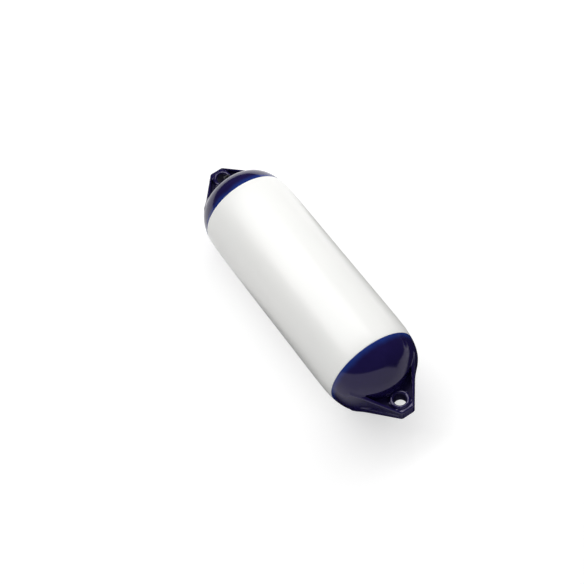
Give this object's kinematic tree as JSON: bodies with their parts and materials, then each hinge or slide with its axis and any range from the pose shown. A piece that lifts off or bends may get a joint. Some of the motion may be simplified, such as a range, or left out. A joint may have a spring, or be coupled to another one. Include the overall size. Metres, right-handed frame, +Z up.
{
  "type": "pneumatic boat fender",
  "caption": "Cylindrical inflatable vinyl boat fender with domed ends, flat ribbed rope-eye lugs and a screw-plug filling valve.",
  "frame": {"origin": "on the ground under the middle of the fender, which lies on its side on a narrow flat", "axes": "+X along the fender away from the end with the valve, +Z up and square to the lugs' faces"},
  "size_m": [0.765, 0.22, 0.219],
  "materials": {
    "white_vinyl": "smooth satin vinyl",
    "navy_vinyl": "smooth glossy vinyl",
    "valve_plastic": "moulded, satin",
    "seal_rubber": "dull"
  },
  "bodies": {
    "fender": {"body_shell": "white_vinyl", "near_end_cap": "navy_vinyl", "far_end_cap": "navy_vinyl", "valve_seat": "valve_plastic"},
    "plug": {"valve_plug": "valve_plastic", "valve_seal_ring": "seal_rubber"}
  },
  "joints": [
    {"name": "plug_unscrew", "type": "slide", "parent": "fender", "child": "plug", "axis": [-0.8607, 0, 0.5091], "range_m": [0, 0.008]}
  ]
}
